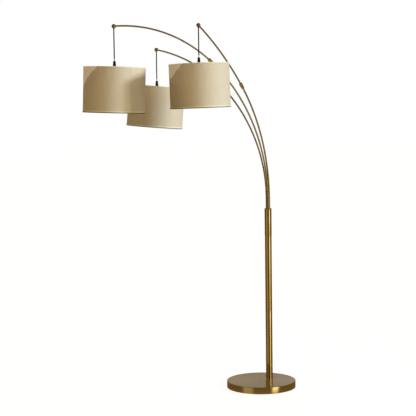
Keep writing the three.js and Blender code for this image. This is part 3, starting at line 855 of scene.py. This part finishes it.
def drum_cloth(name, arm):
    """One strip of cloth glued round the drum, its outer end lapped over its inner one at the seam."""
    bm = bmesh.new()
    uv = bm.loops.layers.uv.new("UVMap")
    whole = 2 * math.pi + CLOTH.lap / SHADE.radius
    fine = [i * CLOTH.fine / SHADE.radius for i in range(CLOTH.fine_columns)]
    rest = [fine[-1] + (whole - fine[-1]) * (i + 1) / CLOTH.columns for i in range(CLOTH.columns)]
    columns = fine + rest
    bottom, shown = CLOTH.margin - SHADE.height, SHADE.height - 2 * CLOTH.margin
    heights = [bottom + shown * i / CLOTH.rows for i in range(CLOTH.rows + 1)]
    seam = math.radians(arm.seam)
    layers = []
    for inset in (0, CLOTH.thickness):
        grid = []
        for turned in columns:
            column = []
            for height in heights:
                reach = cloth_reach(turned, -height) - inset
                angle = seam + turned
                column.append(bm.verts.new((reach * math.cos(angle), reach * math.sin(angle), height)))
            grid.append(column)
        layers.append(grid)

    def quad(corners, places):
        face = bm.faces.new(corners)
        for loop, (k, i) in zip(face.loops, places):
            loop[uv].uv = (columns[k] * SHADE.radius, heights[i])

    last, top = len(columns) - 1, CLOTH.rows
    for k in range(last):
        for i in range(top):
            places = [(k, i), (k + 1, i), (k + 1, i + 1), (k, i + 1)]
            for grid in layers:
                quad([grid[a][b] for a, b in places], places)
        for i in (0, top):
            corners = [layers[0][k][i], layers[0][k + 1][i], layers[1][k + 1][i], layers[1][k][i]]
            quad(corners, [(k, i), (k + 1, i), (k + 1, i), (k, i)])
    for k in (0, last):
        for i in range(top):
            corners = [layers[0][k][i], layers[0][k][i + 1], layers[1][k][i + 1], layers[1][k][i]]
            quad(corners, [(k, i), (k, i + 1), (k, i + 1), (k, i)])
    return into_object(name, bm, MATERIAL["cloth"])


def drum_liner(name):
    """The white plastic sheet that the cloth is glued to."""
    outer = SHADE.radius - LINER.inside
    inner = outer - LINER.thickness
    low, high = LINER.margin - SHADE.height, -LINER.margin
    outline = [(inner, low), (outer, low), (outer, high), (inner, high)]
    return lathe(name, outline, MATERIAL["liner"], 192)


def edging(name, low, high, material):
    """A tape folded over an edge of the drum, standing a little proud of the cloth."""
    outer = SHADE.radius + TAPE.proud
    inner = SHADE.radius - TAPE.inside
    outline = [(inner, low), (outer, low), (outer, high), (inner, high)]
    return lathe(name, softened(outline, 0.0011, 6), material, 256)


def add_shade(arm):
    here = shade_place(arm)
    body = f"{arm.name}_shade"
    bottom = -SHADE.height
    place(spider(f"{arm.name}_spider"), here, body, "shade_wire", f"{arm.name}_shade_spider")
    place(wire_ring(f"{arm.name}_bottom_wire", bottom + SHADE.wire_depth), here, body, "shade_wire",
          f"{arm.name}_shade_bottom_ring")
    cloth = place(drum_cloth(f"{arm.name}_drum_cloth", arm), here, body, "shade_fabric",
                  f"{arm.name}_shade_drum")
    lining = place(drum_liner(f"{arm.name}_drum_liner"), here, body, "shade_wire")
    fold = bottom + TAPE.edge
    top_tape = edging(f"{arm.name}_tape_top", -TAPE.top, TAPE.over, MATERIAL["tape"])
    low_tape = edging(f"{arm.name}_tape_bottom", fold, fold + TAPE.bottom, MATERIAL["tape"])
    # The fold below the bottom tape is drawn dark: painted shade under the rolled hem.
    low_fold_shade = edging(f"{arm.name}_edge_bottom", bottom - TAPE.over, fold - TAPE.split, MATERIAL["edge"])
    for tape in (top_tape, low_tape, low_fold_shade):
        place(tape, here, body, "shade_fabric")


for arm in ARMS:
    add_shade(arm)

# ---------------------------------------------------------------- finish of the hidden CAD pieces

KEPT = {
    "base_weight": "stone",
    "pole_stud": "steel",
    "pole_nut": "steel",
    "pole_washer": "steel",
    "pole_coupler": "steel",
    "arm_socket_block": "steel",
}
for node, finish in KEPT.items():
    mesh = frame["nodes"][node].data
    mesh.materials.clear()
    mesh.materials.append(MATERIAL[finish])

# ---------------------------------------------------------------- floor and light


def pale_floor():
    """A plain white floor that glows a little, so that it meets the white background without an edge."""
    paint = Recipe("pale_floor", Roughness=1.0, Specular_IOR_Level=0.0, Emission_Strength=0.85)
    paint.set(Base_Color=(0.85, 0.85, 0.85, 1), Emission_Color=(1, 1, 1, 1))
    bm = bmesh.new()
    bmesh.ops.create_grid(bm, x_segments=1, y_segments=1, size=40)
    floor = into_object("floor", bm, paint.material)
    floor.visible_glossy = False
    floor.visible_diffuse = False
    floor.visible_shadow = False


# The studio as metal reflects it. Bearings run from the front towards the right, heights are from the
# horizon, and both are in degrees. The room's colour turns into its floor's and its ceiling's between the
# two heights given for each, and edge is how softly a patch ends above and below.
ROOM = Sizes(floor=(0.50, 0.36, 0.18), horizon=(0.21, 0.135, 0.050), ceiling=(0.14, 0.13, 0.11),
             into_floor=(-14, -55), into_ceiling=(-4, 35), edge=5)
PATCHES = [
    Sizes(bearing=47, width=22, height=12, tall=40, edge=6, colour=(2.5, 2.6, 2.6)),
    Sizes(bearing=45, width=20, height=-16, tall=16, edge=5, colour=(1.9, 1.6, 0.75)),
    Sizes(bearing=-48, width=34, height=0, tall=60, edge=8, colour=(0.42, 0.35, 0.23)),
    Sizes(bearing=180, width=46, height=22, tall=44, edge=14, colour=(0.25, 0.25, 0.26)),
]
SUNS = [
    Sizes(name="key", bearing=78, height=24, angle=15, strength=2.65, colour=(0.86, 1.04, 1.25)),
    Sizes(name="middle", bearing=45, height=24, angle=15, strength=0.72, colour=(1.0, 0.79, 0.50)),
    Sizes(name="right", bearing=80, height=20, angle=40, strength=0.08, colour=(1.0, 0.74, 0.48)),
    Sizes(name="front", bearing=0, height=28, angle=40, strength=0.28, colour=(1.0, 0.78, 0.55)),
    Sizes(name="left", bearing=-80, height=35, angle=30, strength=0.37, colour=(1.0, 0.80, 0.56)),
    Sizes(name="corner", bearing=-72, height=20, angle=6, strength=1.08, colour=(1.0, 0.88, 0.78)),
]
# The words in the names of the pieces that the suns light.
LIT_WORDS = ("drum", "tape", "edge_bottom", "spider", "wire", "bulb")

# A card stands in one sun's way, away from a drum by that distance. It has the drum's own curve, and its top
# edge runs through these points: a bearing on the drum, and a height from the drum's rim.
CARDS = [
    Sizes(sun="key", arm="long", away=0.15,
          edge=[(17, -0.088), (45, -0.053), (70, -0.034), (115, -0.014)]),
    Sizes(sun="middle", arm="long", away=0.10,
          edge=[(33, -0.085), (53, -0.061), (74, -0.041), (115, -0.023)]),
]
CARDS += [Sizes(sun="corner", arm=arm.name, away=0.08,
                edge=[(-115, -0.145), (-75, -0.106), (-26, 0.010), (30, 0.03)]) for arm in ARMS]
CARD = Sizes(clearance=0.001, below=0.03, steps=12)


def studio_world():
    """White to the camera; to everything else a dim room with soft patches of light and a dark ceiling."""
    world = bpy.data.worlds.new("studio")
    world.use_nodes = True
    sky = Nodes(world.node_tree)
    sky.tree.nodes.clear()

    def smooth(value, start, end, low=0.0, high=1.0):
        inputs = {"Value": value, "From Min": start, "From Max": end, "To Min": low, "To Max": high}
        return sky.add("ShaderNodeMapRange", inputs, interpolation_type="SMOOTHSTEP")

    def window(value, centre, width, edge):
        """1 inside a band of that width round centre, falling smoothly to 0 over its edges."""
        off = sky.math("ABSOLUTE", sky.math("SUBTRACT", value, centre))
        return smooth(off, width / 2 - edge, width / 2 + edge, 1.0, 0.0)

    x, y, z = sky.split(sky.add("ShaderNodeTexCoord", {}, "Generated"))
    bearing = sky.math("DEGREES", sky.math("ARCTAN2", x, sky.math("MULTIPLY", y, -1.0)))
    height = sky.math("DEGREES", sky.math("ARCSINE", z))
    light = ROOM.horizon
    for limits, colour in ((ROOM.into_ceiling, ROOM.ceiling), (ROOM.into_floor, ROOM.floor)):
        share = smooth(height, *limits)
        light = sky.add("ShaderNodeMix", {"Factor": share, 4: light, 5: colour}, 1, data_type="VECTOR")
    for patch in PATCHES:
        turned = sky.math("SUBTRACT", bearing, patch.bearing)
        nearest = sky.add("ShaderNodeMath", {0: turned, 1: 180.0, 2: -180.0}, operation="WRAP")
        across = window(nearest, 0.0, patch.width, patch.edge)
        upward = window(height, patch.height, patch.tall, ROOM.edge)
        share = sky.math("MULTIPLY", across, upward)
        glow = sky.add("ShaderNodeVectorMath", {0: patch.colour, 3: share}, operation="SCALE")
        light = sky.add("ShaderNodeVectorMath", {0: light, 1: glow}, operation="ADD")
    dim = sky.add("ShaderNodeBackground", {"Color": light, "Strength": 1.0})
    white = sky.add("ShaderNodeBackground", {"Color": (1, 1, 1, 1), "Strength": 1.0})
    seen = sky.add("ShaderNodeLightPath", {}, "Is Camera Ray")
    shown = sky.add("ShaderNodeMixShader", {0: seen, 1: dim, 2: white})
    sky.put(sky.tree.nodes.new("ShaderNodeOutputWorld"), "Surface", shown)
    bpy.context.scene.world = world


def towards(sun):
    """The direction from the lamp to a sun."""
    bearing, height = math.radians(sun.bearing), math.radians(sun.height)
    level = math.cos(height)
    return Vector((math.sin(bearing) * level, -math.cos(bearing) * level, math.sin(height)))


def add_card(card, arm, sun):
    """A black card before a drum, which only that sun's light meets."""
    name = f"{arm.name}_{sun.name}_card"
    black = Recipe(f"{name}_black", Roughness=1.0, Base_Color=(0, 0, 0, 1))
    bm = bmesh.new()
    reach = SHADE.radius + CARD.clearance
    bottom = -SHADE.height - CARD.below
    edge = []
    for (start, low), (end, high) in zip(card.edge, card.edge[1:]):
        for i in range(CARD.steps):
            share = i / CARD.steps
            edge.append((start + (end - start) * share, low + (high - low) * share))
    edge.append(card.edge[-1])
    columns = []
    for bearing, top in edge:
        angle = math.radians(bearing)
        outward = Vector((math.sin(angle), -math.cos(angle), 0))
        foot = arm.rim + reach * outward + card.away * towards(sun)
        columns.append([bm.verts.new(foot + Vector((0, 0, height))) for height in (bottom, top)])
    for left, right in zip(columns, columns[1:]):
        bm.faces.new([left[0], right[0], right[1], left[1]])
    blocker = into_object(name, bm, black.material)
    blocker.visible_camera = False
    blocker.visible_glossy = False
    blocker.visible_diffuse = False
    return blocker


def add_sun(sun, lit):
    """A soft sun for the shades alone, with its cards: brass shows the room's own patches."""
    data = bpy.data.lights.new(f"{sun.name}_light", "SUN")
    data.energy = sun.strength
    data.angle = math.radians(sun.angle)
    data.color = sun.colour
    light = bpy.data.objects.new(f"{sun.name}_light", data)
    light.rotation_mode = "QUATERNION"
    light.rotation_quaternion = towards(sun).to_track_quat("Z", "Y")
    arms = {arm.name: arm for arm in ARMS}
    cards = [add_card(card, arms[card.arm], sun) for card in CARDS if card.sun == sun.name]
    blockers = bpy.data.collections.new(f"{sun.name}_blockers")
    for piece in [*lit.objects, *cards]:
        blockers.objects.link(piece)
    light.light_linking.receiver_collection = lit
    light.light_linking.blocker_collection = blockers
    bpy.context.scene.collection.objects.link(light)


pale_floor()
studio_world()
lit_shades = bpy.data.collections.new("lit_shades")
for piece in bpy.data.objects:
    if any(word in piece.name for word in LIT_WORDS):
        lit_shades.objects.link(piece)
for sun in SUNS:
    add_sun(sun, lit_shades)
bpy.context.scene.view_settings.view_transform = "Standard"
